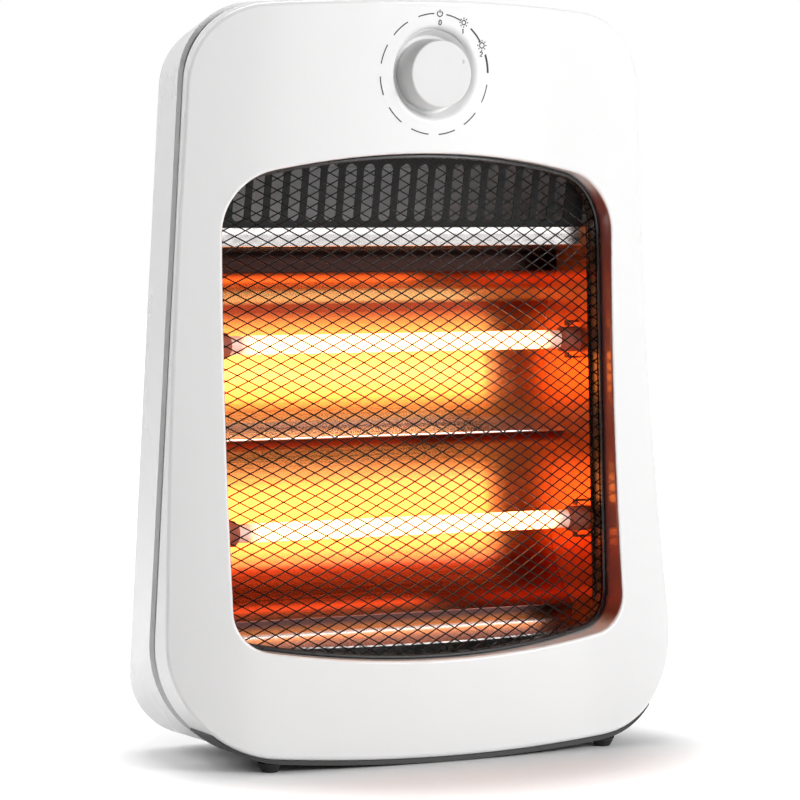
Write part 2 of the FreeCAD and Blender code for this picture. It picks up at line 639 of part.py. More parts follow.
def reflector():
    """Sheet bent into a lip, a flat strip, two troughs that meet in a ridge, and a shelf."""
    top_fold = on_row(2 * half_row, RIDGE_HEIGHT)
    upper_middle = half_row - UPPER_DROP
    upper_end = on_row(2 * upper_middle, RIDGE_HEIGHT)
    ridge = on_row(0, RIDGE_HEIGHT)
    lower_middle = LOWER_LIFT - half_row
    lower_end = on_row(2 * lower_middle, RIDGE_HEIGHT)
    fold = on_row(-2 * half_row, RIDGE_HEIGHT) - UP * SHELF_DROP
    shelf_front = V(0, at(0, GRILLE_DEPTH, 0).y, fold.z - SHELF_RISE)
    path = Part.Wire([
        line(at(0, LIP_DEPTH, LIP_TOP), at(0, LIP_DEPTH, LIP_BASE)),
        line(at(0, LIP_DEPTH, LIP_BASE), top_fold),
        line(top_fold, upper_end),
        Part.Arc(upper_end, on_row(upper_middle, UPPER_STAND), ridge).toShape(),
        Part.Arc(ridge, on_row(lower_middle, LOWER_STAND), lower_end).toShape(),
        line(lower_end, fold),
        line(fold, shelf_front),
    ])
    strip = path.makeOffset2D(SHEET, 0, True, True, False)
    half = END_X - FIXED_FIT
    strip.translate(V(-half, 0, 0))
    return strip.extrude(V(2 * half, 0, 0)).cut(in_front_of_sheet)


def reflector_end(side):
    base_z = on_row(-2 * half_row, RIDGE_HEIGHT).z - SHELF_DROP - 2 * SHELF_RISE
    top_z = LIP_TOP + SHELF_RISE
    corners = [at(0, GRILLE_DEPTH, base_z), at(0, GRILLE_DEPTH, top_z), at(0, LIP_DEPTH, top_z),
               on_row(2 * half_row, RIDGE_HEIGHT - 2 * END_BACK), on_row(1.5 * half_row, -END_BACK),
               on_row(-1.5 * half_row, -END_BACK), on_row(-2 * half_row, RIDGE_HEIGHT - 2 * END_BACK)]
    corners.append(V(0, corners[-1].y, base_z))
    plate = closed_face(corners).extrude(V(PLATE, 0, 0))
    plate.translate(V(END_X, 0, 0))
    plate = plate.cut(in_front_of_ends)
    for z in EAR_HEIGHTS:
        seat = ear_seats[z]
        ear = block(END_X, EAR_OUT, seat, seat + PLATE, z - EAR_WIDTH / 2, z + EAR_WIDTH / 2)
        plate = plate.fuse(ear)
        plate = plate.cut(rod_y(PILOT_RADIUS + 3 * FIXED_FIT, seat - PLATE, seat + 2 * PLATE, EAR_SCREW_X, z))
    for depth, z in tubes.values():
        plate = plate.fuse(rod_x(CAP_RADIUS + CAP_BEVEL, END_X, END_X + PLATE, depth, z))
    for depth, z in tubes.values():
        plate = plate.cut(rod_x(CAP_NECK_RADIUS + FIXED_FIT, 0, EAR_OUT, depth, z))
    plate = plate.removeSplitter()
    return plate if side > 0 else mirrored(plate)


def vent_plate():
    """Sheet above the reflector's lip, leaning forward, with a row of upright round-ended slots."""
    foot_point = at(0, LIP_DEPTH + SHEET, LIP_TOP + SHEET_GAP)
    head_point = at(0, VENT_TOP_DEPTH, VENT_TOP)
    rise = head_point - foot_point
    half = END_X - FIXED_FIT
    sheet = Part.makeBox(2 * half, PLATE, rise.Length)
    slot_height = rise.Length - 2 * VENT_MARGIN
    for step in range(VENT_SLOTS):
        x = half + (step - (VENT_SLOTS - 1) / 2) * VENT_SLOT_PITCH
        slot = obround(x, rise.Length / 2, VENT_SLOT_WIDTH, slot_height, 0, DEPTH)
        sheet = sheet.cut(slot)
    lean = math.degrees(math.atan2(-rise.y, rise.z))
    sheet.rotate(V(0, 0, 0), RIGHT, lean)
    sheet.translate(V(-half, foot_point.y, foot_point.z))
    return sheet


def quartz_tube(depth, z):
    bore = rod_x(TUBE_BORE, -TUBE_HALF, TUBE_HALF, depth, z)
    return rod_x(TUBE_RADIUS, -TUBE_HALF, TUBE_HALF, depth, z).cut(bore)


def heating_coil(depth, z):
    half = TUBE_HALF - CAP_BORE_DEPTH / 2
    end = END_X + PLATE + CAP_HEAD
    leads = [rod_x(PIN_RADIUS, sign * half if sign > 0 else -end, end if sign > 0 else -half, depth, z)
             for sign in (-1, 1)]
    return rod_x(COIL_RADIUS, -half, half, depth, z).fuse(leads).removeSplitter()


def ceramic_cap(side, depth, z):
    inner = END_X - FIXED_FIT
    outer = END_X + PLATE + FIXED_FIT
    nose = rod_x(CAP_RADIUS, inner - CAP_NOSE, inner, depth, z)
    nose = nose.makeChamfer(CAP_BEVEL, min(nose.Faces, key=lambda face: face.CenterOfMass.x).Edges)
    cap = nose.fuse([rod_x(CAP_NECK_RADIUS, inner, outer, depth, z),
                     rod_x(CAP_HEAD_RADIUS, outer, outer + CAP_HEAD, depth, z)])
    cap = cap.cut(rod_x(TUBE_RADIUS + FIXED_FIT, inner - CAP_NOSE, TUBE_HALF + FIXED_FIT, depth, z))
    cap = cap.cut(rod_x(PIN_RADIUS + FIXED_FIT, TUBE_HALF, outer + CAP_HEAD, depth, z)).removeSplitter()
    return cap if side > 0 else mirrored(cap)


def cap_clips():
    """Hooks above and below each cap, standing on the inside of the end plates."""
    hooks = []
    for depth, z in tubes.values():
        for sign in (-1, 1):
            stand = z + sign * (CAP_RADIUS + CLIP_STAND)
            half = CLIP_WIDTH / 2
            x_tip = END_X - CLIP_REACH
            arm = block(x_tip, END_X, depth - half, depth + half, stand - PLATE / 2, stand + PLATE / 2)
            low = stand - CLIP_HOOK if sign > 0 else stand
            hook = block(x_tip, x_tip + PLATE, depth - half, depth + half, low, low + CLIP_HOOK)
            hooks.append(arm.fuse(hook).removeSplitter())
    return Part.makeCompound(hooks + [mirrored(hook) for hook in hooks])


def knob():
    base = dish_floor - KNOB_CLEAR
    body = turned_y([(0, knob_face_depth), (KNOB_FACE_RADIUS, knob_face_depth),
                     (KNOB_BASE_RADIUS, base), (0, base)], 0, KNOB_Z)
    face = min(body.Faces, key=lambda item: item.CenterOfMass.y)
    body = body.makeFillet(KNOB_EDGE, face.Edges)
    body = body.cut(rod_y(KNOB_RECESS_RADIUS, base - KNOB_RECESS, base + 1, 0, KNOB_Z))
    body = body.cut(d_rod(FIXED_FIT / 2, knob_face_depth + KNOB_STAND / 2, base))
    turn = math.radians(DIMPLE_ANGLE)
    dimple = at(DIMPLE_OUT * math.sin(turn), knob_face_depth - DIMPLE_SINK,
                KNOB_Z + DIMPLE_OUT * math.cos(turn))
    return body.cut(Part.makeSphere(DIMPLE_RADIUS, dimple))


def d_rod(extra, depth0, depth1):
    """Round rod on the knob's axis with one flat."""
    rod = rod_y(SHAFT_RADIUS + extra, depth0, depth1, 0, KNOB_Z)
    return rod.common(block(-KNOB_BASE_RADIUS, KNOB_BASE_RADIUS, depth0, depth1,
                            KNOB_Z - KNOB_BASE_RADIUS, KNOB_Z + SHAFT_FLAT + extra))


shaft_start = knob_face_depth + KNOB_STAND / 2 + FIXED_FIT
shaft_end = dish_back + SWITCH_DEPTH / 2
bush_front = dish_floor - BUSH_STAND


def switch_shaft():
    flat = d_rod(0, shaft_start, bush_front)
    return flat.fuse(rod_y(SHAFT_RADIUS, bush_front, shaft_end, 0, KNOB_Z)).removeSplitter()


def switch_body():
    rear = dish_back + SWITCH_DEPTH
    case = block(-SWITCH_WIDTH / 2, SWITCH_WIDTH / 2, dish_back, rear,
                 KNOB_Z - SWITCH_HEIGHT / 2, KNOB_Z + SWITCH_HEIGHT / 2)
    case = case.makeFillet(WALL, [edge for edge in case.Edges if edge.BoundBox.YLength > 1])
    blades = [block(x - WALL, x + WALL, rear, rear + SWITCH_DEPTH / 2, z - PLATE / 2, z + PLATE / 2)
              for x in both_sides(SWITCH_WIDTH / 4)
              for z in (KNOB_Z - SWITCH_HEIGHT / 4, KNOB_Z + SWITCH_HEIGHT / 4)]
    case = case.fuse([rod_y(BUSH_RADIUS, bush_front, dish_back, 0, KNOB_Z)] + blades).removeSplitter()
    return case.cut(rod_y(SHAFT_RADIUS + RUNNING_FIT, bush_front, shaft_end + FIXED_FIT, 0, KNOB_Z))


def switch_nut():
    points = [at(NUT_ACROSS / math.sqrt(3) * math.cos(math.radians(60 * step)), dish_floor - NUT_THICK,
                 KNOB_Z + NUT_ACROSS / math.sqrt(3) * math.sin(math.radians(60 * step))) for step in range(6)]
    nut = closed_face(points).extrude(V(0, NUT_THICK, 0))
    return nut.cut(rod_y(BUSH_RADIUS + FIXED_FIT, 0, DEPTH, 0, KNOB_Z))


lever_z = PLUNGER_TOP + LEVER_GAP + LEVER_THICK / 2
pin_x = TIP_X + LEVER_ARM
micro_z = lever_z + LEVER_EYE_RADIUS + FIXED_FIT
roof_z = TIP_HOUSING_TOP - TIP_HOUSING_ROOF
flange_top = PLUNGER_FLANGE_Z + PLUNGER_FLANGE


def tip_plunger():
    stem_top = PLUNGER_TOP - PLUNGER_STEM_RADIUS
    parts = [rod_z(PLUNGER_FLANGE_RADIUS, PLUNGER_FLANGE_Z, flange_top, TIP_X, TIP_DEPTH),
             rod_z(PLUNGER_STEM_RADIUS, flange_top, stem_top, TIP_X, TIP_DEPTH),
             Part.makeSphere(PLUNGER_STEM_RADIUS, at(TIP_X, TIP_DEPTH, stem_top))]
    return rod_z(PLUNGER_RADIUS, 0, PLUNGER_FLANGE_Z, TIP_X, TIP_DEPTH).fuse(parts).removeSplitter()


def tip_spring():
    sleeve = rod_z(SPRING_RADIUS, flange_top + FIXED_FIT, roof_z - FIXED_FIT, TIP_X, TIP_DEPTH)
    return sleeve.cut(rod_z(PLUNGER_STEM_RADIUS + PLATE, 0, TIP_HOUSING_TOP, TIP_X, TIP_DEPTH))


def tip_switch_housing():
    tower = rod_z(TIP_HOUSING_RADIUS, TIP_HOUSING_Z, TIP_HOUSING_TOP, TIP_X, TIP_DEPTH)
    tower = tower.cut(rod_z(TIP_HOUSING_BORE, TIP_HOUSING_Z, roof_z, TIP_X, TIP_DEPTH))
    near = TIP_DEPTH + MICRO_HALF + FIXED_FIT
    bracket = block(TIP_X - LEVER_TAIL, pin_x + MICRO_HALF, near, near + WALL / 2,
                    roof_z, micro_z + MICRO_HEIGHT)
    tower = tower.fuse(bracket).removeSplitter()
    return tower.cut(rod_z(PLUNGER_STEM_RADIUS + RUNNING_FIT, 0, PLUNGER_TOP, TIP_X, TIP_DEPTH))


def micro_switch():
    x0 = TIP_X - LEVER_TAIL
    x1 = pin_x + MICRO_HALF
    case = block(x0, x1, TIP_DEPTH - MICRO_HALF, TIP_DEPTH + MICRO_HALF, micro_z, micro_z + MICRO_HEIGHT)
    lugs = [block(pin_x - LEVER_EYE_RADIUS, pin_x + LEVER_EYE_RADIUS, depth, depth + MICRO_LUG,
                  lever_z - LEVER_EYE_RADIUS, micro_z)
            for depth in (TIP_DEPTH - MICRO_HALF, TIP_DEPTH + MICRO_HALF - MICRO_LUG)]
    pin = rod_y(LEVER_PIN_RADIUS, TIP_DEPTH - MICRO_HALF, TIP_DEPTH + MICRO_HALF, pin_x, lever_z)
    return case.fuse(lugs + [pin]).removeSplitter()


def tip_lever():
    leaf = block(TIP_X - LEVER_TAIL, pin_x, TIP_DEPTH - LEVER_HALF, TIP_DEPTH + LEVER_HALF,
                 lever_z - LEVER_THICK / 2, lever_z + LEVER_THICK / 2)
    eye = rod_y(LEVER_EYE_RADIUS, TIP_DEPTH - LEVER_HALF, TIP_DEPTH + LEVER_HALF, pin_x, lever_z)
    hole = rod_y(LEVER_PIN_RADIUS + RUNNING_FIT, TIP_DEPTH - MICRO_HALF, TIP_DEPTH + MICRO_HALF,
                 pin_x, lever_z)
    return leaf.fuse(eye).removeSplitter().cut(hole)


def thermal_cutout():
    start = END_X + PLATE + FIXED_FIT
    disc = rod_x(CUTOUT_RADIUS, start, start + CUTOUT_THICK, CUTOUT_DEPTH, CUTOUT_Z)
    flange = block(start, start + PLATE, CUTOUT_DEPTH - CUTOUT_RADIUS / 2, CUTOUT_DEPTH + CUTOUT_RADIUS / 2,
                   CUTOUT_Z - 1.5 * CUTOUT_RADIUS, CUTOUT_Z + 1.5 * CUTOUT_RADIUS)
    return disc.fuse(flange).removeSplitter()


def terminal_block():
    floor = base_curve(abs(TERMINAL_X) + TERMINAL_LENGTH / 2) + WALL + SHEET_GAP
    body = block(TERMINAL_X - TERMINAL_LENGTH / 2, TERMINAL_X + TERMINAL_LENGTH / 2,
                 TERMINAL_DEPTH - TERMINAL_WIDTH / 2, TERMINAL_DEPTH + TERMINAL_WIDTH / 2,
                 floor, floor + TERMINAL_HEIGHT)
    for pole in range(TERMINAL_POLES):
        x = TERMINAL_X + TERMINAL_LENGTH * ((pole + 0.5) / TERMINAL_POLES - 0.5)
        body = body.cut(rod_z(TERMINAL_WELL, floor + TERMINAL_HEIGHT / 2, floor + TERMINAL_HEIGHT,
                              x, TERMINAL_DEPTH))
        body = body.cut(rod_y(TERMINAL_WELL, 0, DEPTH, x, floor + TERMINAL_HEIGHT / 3))
    return body


def cord_gland():
    inner_wall = DEPTH - WALL - FIXED_FIT
    bush = rod_y(GLAND_RADIUS, DEPTH - GLAND_LENGTH, DEPTH, GLAND_X, GLAND_Z)
    flange = rod_y(GLAND_FLANGE_RADIUS, inner_wall - GLAND_FLANGE, inner_wall, GLAND_X, GLAND_Z)
    return bush.fuse(flange).removeSplitter().cut(rod_y(GLAND_BORE, 0, DEPTH, GLAND_X, GLAND_Z))


def screw(x, z, seat, tip, shank_radius, head_radius, head):
    """Round-headed screw that points to the front."""
    shank = rod_y(shank_radius, tip, seat, x, z)
    top = rod_y(head_radius, seat, seat + head, x, z)
    top = top.makeFillet(head / 2, max(top.Faces, key=lambda face: face.CenterOfMass.y).Edges)
    return shank.fuse(top).removeSplitter()


def casing_screws():
    return Part.makeCompound([
        screw(side * x, z, WELL_FLOOR_DEPTH, boss_face - SCREW_REACH + WALL,
              SCREW_RADIUS, SCREW_HEAD_RADIUS, SCREW_HEAD)
        for side in (-1, 1) for x, z in SCREW_CORNERS])


def reflector_screws():
    return Part.makeCompound([
        screw(side * EAR_SCREW_X, z, ear_seats[z] + PLATE, ear_seats[z] - SCREW_REACH + WALL,
              PILOT_RADIUS, 2 * PILOT_RADIUS, SCREW_HEAD)
        for side in (-1, 1) for z in EAR_HEIGHTS])


pieces = {
    "front_panel": front_panel(),
    "rear_casing": rear_casing(),
    "seam_frame": seam_frame(),
    "base_plate": base_plate(),
    "grille_rim": grille_rim(),
    "grille_mesh": grille_mesh(),
    "reflector": reflector(),
    "vent_plate": vent_plate(),
    "cap_clips": cap_clips(),
    "knob": knob(),
    "switch_shaft": switch_shaft(),
    "switch_body": switch_body(),
    "switch_nut": switch_nut(),
    "tip_plunger": tip_plunger(),
    "tip_spring": tip_spring(),
    "tip_switch_housing": tip_switch_housing(),
    "micro_switch": micro_switch(),
    "tip_lever": tip_lever(),
    "thermal_cutout": thermal_cutout(),
    "terminal_block": terminal_block(),
    "cord_gland": cord_gland(),
    "casing_screws": casing_screws(),
    "reflector_screws": reflector_screws(),
}
for level, (depth, z) in tubes.items():
    pieces["quartz_tube_" + level] = quartz_tube(depth, z)
    pieces["heating_coil_" + level] = heating_coil(depth, z)
    for side_name, side in sides.items():
        pieces["ceramic_cap_%s_%s" % (level, side_name)] = ceramic_cap(side, depth, z)
for side_name, side in sides.items():
    pieces["reflector_end_" + side_name] = reflector_end(side)
    pieces["foot_front_" + side_name] = foot(side, FOOT_FRONT_X, FOOT_FRONT_DEPTH)
    pieces["foot_rear_" + side_name] = foot(side, FOOT_REAR_X, FOOT_REAR_DEPTH)

os.makedirs("parts", exist_ok=True)
for name, shape in pieces.items():
    shape.exportStep("parts/%s.step" % name)
    print("%-24s solids %d  volume %.0f  valid %s" % (name, len(shape.Solids), shape.Volume, shape.isValid()))
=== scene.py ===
import math

import bpy
from mathutils import Matrix, Vector


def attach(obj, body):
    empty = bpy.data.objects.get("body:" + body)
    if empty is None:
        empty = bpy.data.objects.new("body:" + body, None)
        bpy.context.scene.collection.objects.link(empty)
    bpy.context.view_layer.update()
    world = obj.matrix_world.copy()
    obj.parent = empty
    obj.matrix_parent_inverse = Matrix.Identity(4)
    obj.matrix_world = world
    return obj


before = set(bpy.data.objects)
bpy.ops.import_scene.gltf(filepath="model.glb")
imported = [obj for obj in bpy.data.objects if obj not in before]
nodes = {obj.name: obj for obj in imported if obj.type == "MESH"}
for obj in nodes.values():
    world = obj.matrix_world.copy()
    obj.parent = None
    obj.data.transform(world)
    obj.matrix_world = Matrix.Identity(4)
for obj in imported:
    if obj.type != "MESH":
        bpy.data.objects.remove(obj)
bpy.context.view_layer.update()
MM = 0.001

# Camera of the photograph
CAMERA_PLACE = Vector((-773.83, -1559.09, 280.19)) * MM
CAMERA_YAW = 26.362
CAMERA_PITCH = -3.423
CAMERA_ROLL = 0.080
CAMERA_LENS = 155.29
SENSOR = 36.0

# Dial print on the panel, in millimetres and in degrees clockwise from the top
KNOB_Z = 339.0
RING_RADIUS = 29.7
PRINT_LIFT = 0.07
PRINT_STEP = 1.2
FEWEST_STEPS = 6
FINE_LINE = 0.6
MID_LINE = 0.85
BOLD_LINE = 1.1
RING_DASHES = ((99, 117), (129, 146), (157, 175), (186, 205), (217, 236), (249, 267), (279, 298),
               (309, 328), (340, 357))
HEAT_ARCS = ((10, 27, FINE_LINE), (40, 57, MID_LINE), (70, 88, BOLD_LINE))
OFF_ANGLE = 3.0
OFF_RADIUS = 1.5
OFF_GAP = 35
OFF_STROKE = (0.3, 2.0)
LOW_ANGLE = 30.5
LOW_SUN = 1.2
HIGH_ANGLE = 60.5
HIGH_SUN = 1.4
SUN_RING = (0, 345)
SUN_RAYS = 8
SUN_RAY = (0.6, 1.3)
NUMERAL_DROP = 4.3
NUMERAL_SHIFT = 0.3
NUMERAL_HEIGHT = 2.3
NUMERAL_SLIM = 0.6
ZERO_POINTS = 16
ONE_FLAG = 0.5
TWO_HOOK = (-80, 120)
CAST_FROM = -1000.0

# Surface effects that several materials share, with the bump's depth in millimetres
BUMP_DEPTH = 0.1
PATCH_DETAIL = 4.0
GRAIN_DETAIL = 2.0
STAIN_DETAIL = 3.0
SHEET_LINES = (6.0, 900.0, 900.0)

# Heating tubes and the wires inside them, lengths in millimetres
GLOW_HALF = 84.0
GLOW_FADE = 5.0
CLOUD_SCALE = 60.0
CLOUD_ROUGH = 0.15
TUBE_HOT = (1.0, 0.31, 0.11, 1)
TUBE_COLD = (0.05, 0.012, 0.004, 1)
TUBE_MILKY = (0.85, 0.80, 0.74, 1)
TUBE_STRENGTH = 8.0
TUBE_ROUGH = 0.2
WIRE_HOT = (1.0, 0.5, 0.12, 1)
WIRE_COLD = (0.02, 0.01, 0.008, 1)
WIRE_GREY = (0.2, 0.18, 0.17, 1)
WIRE_STRENGTH = 4.0
WIRE_ROUGH = 0.4

# Painted glow of the tubes, painted highlights and painted shade on the reflector's front, by height
# in millimetres, and the slope where its back begins
PAINTED_GLOW_TOP = 270.0
BRIGHT = (0.93, 0.90, 0.87, 1)
SILVER = (0.66, 0.64, 0.63, 1)
STEEL = (0.56, 0.54, 0.53, 1)
STRAW = (0.92, 0.60, 0.24, 1)
GOLD = (0.72, 0.36, 0.11, 1)
AMBER = (0.55, 0.17, 0.05, 1)
DEEP_RED_GLOW = (0.28, 0.06, 0.025, 1)
UMBER = (0.10, 0.045, 0.04, 1)
PAINTED_DARK = (0.012, 0.005, 0.004, 1)
PAINTED_GLOW_BANDS = (
    (58.5, SILVER), (60.0, AMBER), (64.0, UMBER), (68.0, UMBER), (72.0, DEEP_RED_GLOW), (90.0, DEEP_RED_GLOW),
    (95.0, AMBER), (101.0, GOLD), (118.0, STRAW), (150.0, STRAW), (152.5, DEEP_RED_GLOW),
    (156.7, PAINTED_DARK), (156.9, BRIGHT), (162.0, BRIGHT), (166.0, STRAW), (200.0, STRAW), (212.0, GOLD),
    (220.0, DEEP_RED_GLOW), (224.0, DEEP_RED_GLOW), (226.0, STRAW), (230.0, STRAW), (231.5, AMBER), (236.0, AMBER),
    (240.0, PAINTED_DARK), (251.0, PAINTED_DARK), (251.5, STEEL), (259.5, STEEL), (260.0, BRIGHT))
BACK_SLOPE_START = 0.05
BACK_SLOPE_FULL = 0.3

# Painted shade with red glow on the side walls of the window, by millimetres across times slope,
# below zero on inward faces
WALL_GLOW_SHADE = (0.28, 0.10, 0.085, 1)
WALL_START = -50.0
WALL_FULL = -90.0

# Trim in the seam between panel and casing, with painted light on its rear part, and its blend in
# millimetres
TRIM_PAINTED_LIGHT = (0.80, 0.80, 0.80, 1)
TRIM_DARK_SHARE = 0.45
TRIM_BLEND = 0.3

# Stage and soft lamps, in metres and watts
FLOOR_HALF = 6.0
FLOOR_GREY = 0.85
FLOOR_ROUGH = 0.7
FLOOR_SPECULAR = 0.2
FLOOR_NEAR = 0.10
FLOOR_FAR = 0.24
REFLECTED_WHITE = 0.45
WORLD_LIGHT = 0.5
ROOM_GREY = 0.05
ROOM_FRONT = -0.2
ROOM_BACK = 0.35
LAMP_AIM = Vector((0.0, 0.0, 0.2))
LAMPS = (
    ("front_box", (1.0, -1.48, 0.99), (0.9, 0.9), 23.0),
    ("front_fill", (0.75, -1.8, 0.62), (1.6, 1.2), 9.0),
    ("top_box", (0.0, 0.5, 1.6), (1.0, 0.7), 10.5),
    ("side_box", (-1.25, 0.4, 1.1), (0.5, 0.9), 9.0),
    ("back_box", (1.3, 1.2, 1.0), (1.0, 0.8), 3.0),
)


# Shader helpers

def new_material(name):
    material = bpy.data.materials.new(name)
    material.use_nodes = True
    tree = material.node_tree
    return material, tree.nodes, tree.links, tree.nodes["Principled BSDF"]


def add(tree_nodes, kind, **values):
    node = tree_nodes.new(kind)
    for key, value in values.items():
        setattr(node, key, value)
    return node


def new_group(name, inputs, outputs):
    """Empty shader node group; inputs and outputs are (name, socket type, default)."""
    tree = bpy.data.node_groups.new(name, "ShaderNodeTree")
    for direction, sockets in (("INPUT", inputs), ("OUTPUT", outputs)):
        for label, kind, default in sockets:
            socket = tree.interface.new_socket(label, in_out=direction, socket_type=kind)
            if default is not None:
                socket.default_value = default
    return tree, tree.nodes.new("NodeGroupInput"), tree.nodes.new("NodeGroupOutput")


def place(material, tree, **values):
    node = material.node_tree.nodes.new("ShaderNodeGroup")
    node.node_tree = tree
    node.name = tree.name
    for label, value in values.items():
        node.inputs[label.replace("_", " ")].default_value = value
    return node


def moulding_group():
    """Uneven tint, handling marks and a fine surface grain of a moulded or painted surface."""
    tree, start, end = new_group(
        "moulded_surface",
        (("Colour", "NodeSocketColor", None), ("Shade", "NodeSocketColor", None),
         ("Roughness", "NodeSocketFloat", 0.2), ("Smudge", "NodeSocketFloat", 0.05),
         ("Grain Scale", "NodeSocketFloat", 900.0), ("Patch Scale", "NodeSocketFloat", 9.0)),
        (("Colour", "NodeSocketColor", None), ("Roughness", "NodeSocketFloat", None),
         ("Height", "NodeSocketFloat", None)))
    place_on = add(tree.nodes, "ShaderNodeTexCoord")
    patch = add(tree.nodes, "ShaderNodeTexNoise")
    grain = add(tree.nodes, "ShaderNodeTexNoise")
    mix = add(tree.nodes, "ShaderNodeMix", data_type="RGBA")
    shift = add(tree.nodes, "ShaderNodeMath", operation="MULTIPLY_ADD")
    patch.inputs["Detail"].default_value = PATCH_DETAIL
    grain.inputs["Detail"].default_value = GRAIN_DETAIL
    link = tree.links.new
    for noise, scale in ((patch, "Patch Scale"), (grain, "Grain Scale")):
        link(place_on.outputs["Object"], noise.inputs["Vector"])
        link(start.outputs[scale], noise.inputs["Scale"])
    link(patch.outputs["Fac"], mix.inputs["Factor"])
    link(start.outputs["Colour"], mix.inputs["A"])
    link(start.outputs["Shade"], mix.inputs["B"])
    link(mix.outputs["Result"], end.inputs["Colour"])
    link(patch.outputs["Fac"], shift.inputs[0])
    link(start.outputs["Smudge"], shift.inputs[1])
    link(start.outputs["Roughness"], shift.inputs[2])
    link(shift.outputs["Value"], end.inputs["Roughness"])
    link(grain.outputs["Fac"], end.inputs["Height"])
    return tree


def rolled_sheet_group():
    """Fine lines along the sheet, as left by rolling and polishing, with faint stains."""
    tree, start, end = new_group(
        "rolled_sheet",
        (("Colour", "NodeSocketColor", None), ("Tint", "NodeSocketColor", None),
         ("Roughness", "NodeSocketFloat", 0.2), ("Line Rough", "NodeSocketFloat", 0.1),
         ("Stain Scale", "NodeSocketFloat", 30.0)),
        (("Colour", "NodeSocketColor", None), ("Roughness", "NodeSocketFloat", None),
         ("Height", "NodeSocketFloat", None)))
    place_on = add(tree.nodes, "ShaderNodeTexCoord")
    stretch = add(tree.nodes, "ShaderNodeMapping")
    stretch.inputs["Scale"].default_value = SHEET_LINES
    lines = add(tree.nodes, "ShaderNodeTexNoise")
    lines.inputs["Scale"].default_value = 1.0
    stain = add(tree.nodes, "ShaderNodeTexNoise")
    stain.inputs["Detail"].default_value = STAIN_DETAIL
    mix = add(tree.nodes, "ShaderNodeMix", data_type="RGBA")
    shift = add(tree.nodes, "ShaderNodeMath", operation="MULTIPLY_ADD")
    link = tree.links.new
    link(place_on.outputs["Object"], stretch.inputs["Vector"])
    link(stretch.outputs["Vector"], lines.inputs["Vector"])
    link(place_on.outputs["Object"], stain.inputs["Vector"])
    link(start.outputs["Stain Scale"], stain.inputs["Scale"])
    link(stain.outputs["Fac"], mix.inputs["Factor"])
    link(start.outputs["Colour"], mix.inputs["A"])
    link(start.outputs["Tint"], mix.inputs["B"])
    link(mix.outputs["Result"], end.inputs["Colour"])
    link(lines.outputs["Fac"], shift.inputs[0])
    link(start.outputs["Line Rough"], shift.inputs[1])
    link(start.outputs["Roughness"], shift.inputs[2])
    link(shift.outputs["Value"], end.inputs["Roughness"])
    link(lines.outputs["Fac"], end.inputs["Height"])
    return tree


def painted_glow_group():
    """Painted glow of the tubes, painted highlights and painted shade on the reflector's front, from
    the shelf up to the lip; its back is plain.
    """
    tree, start, end = new_group("painted_glow", (), (("Colour", "NodeSocketColor", None),))
    split = add(tree.nodes, "ShaderNodeSeparateXYZ")
    level = add(tree.nodes, "ShaderNodeMapRange")
    level.inputs["From Max"].default_value = PAINTED_GLOW_TOP * MM
    ramp = add(tree.nodes, "ShaderNodeValToRGB")
    stops = ramp.color_ramp.elements
    while len(stops) < len(PAINTED_GLOW_BANDS):
        stops.new(1.0)
    for stop, (height, colour) in zip(stops, PAINTED_GLOW_BANDS):
        stop.position = height / PAINTED_GLOW_TOP
        stop.color = colour
    place_on = add(tree.nodes, "ShaderNodeTexCoord")
    slope = add(tree.nodes, "ShaderNodeSeparateXYZ")
    behind = add(tree.nodes, "ShaderNodeMapRange")
    behind.inputs["From Min"].default_value = BACK_SLOPE_START
    behind.inputs["From Max"].default_value = BACK_SLOPE_FULL
    plain = add(tree.nodes, "ShaderNodeMix", data_type="RGBA")
    plain.inputs["B"].default_value = SILVER
    link = tree.links.new
    link(place_on.outputs["Object"], split.inputs["Vector"])
    link(split.outputs["Z"], level.inputs["Value"])
    link(level.outputs["Result"], ramp.inputs["Fac"])
    link(place_on.outputs["Normal"], slope.inputs["Vector"])
    link(slope.outputs["Y"], behind.inputs["Value"])
    link(behind.outputs["Result"], plain.inputs["Factor"])
    link(ramp.outputs["Color"], plain.inputs["A"])
    link(plain.outputs["Result"], end.inputs["Colour"])
    return tree


moulded = moulding_group()
rolled = rolled_sheet_group()
painted_glow = painted_glow_group()


def finish_material(name, tree, bump, constants, **values):
    """Principled material whose colour, roughness and bump come from one of the surface groups."""
    material, tree_nodes, links, shader = new_material(name)
    surface = place(material, tree, **values)
    height = add(tree_nodes, "ShaderNodeBump")
    height.inputs["Strength"].default_value = bump
    height.inputs["Distance"].default_value = BUMP_DEPTH * MM
    links.new(surface.outputs["Colour"], shader.inputs["Base Color"])
    links.new(surface.outputs["Roughness"], shader.inputs["Roughness"])
    links.new(surface.outputs["Height"], height.inputs["Height"])
    links.new(height.outputs["Normal"], shader.inputs["Normal"])
    for socket, value in constants.items():
        shader.inputs[socket].default_value = value
    return material


def grey(value):
    return (value, value, value, 1.0)


def mix_tone(material, mask, colour):
    """Blends a second colour into the base colour of a moulded material where the mask is one."""
    tree_nodes = material.node_tree.nodes
    links = material.node_tree.links
    tone = add(tree_nodes, "ShaderNodeMix", data_type="RGBA")
    tone.inputs["B"].default_value = colour
    links.new(mask.outputs["Result"], tone.inputs["Factor"])
    links.new(tree_nodes["moulded_surface"].outputs["Colour"], tone.inputs["A"])
    links.new(tone.outputs["Result"], tree_nodes["Principled BSDF"].inputs["Base Color"])


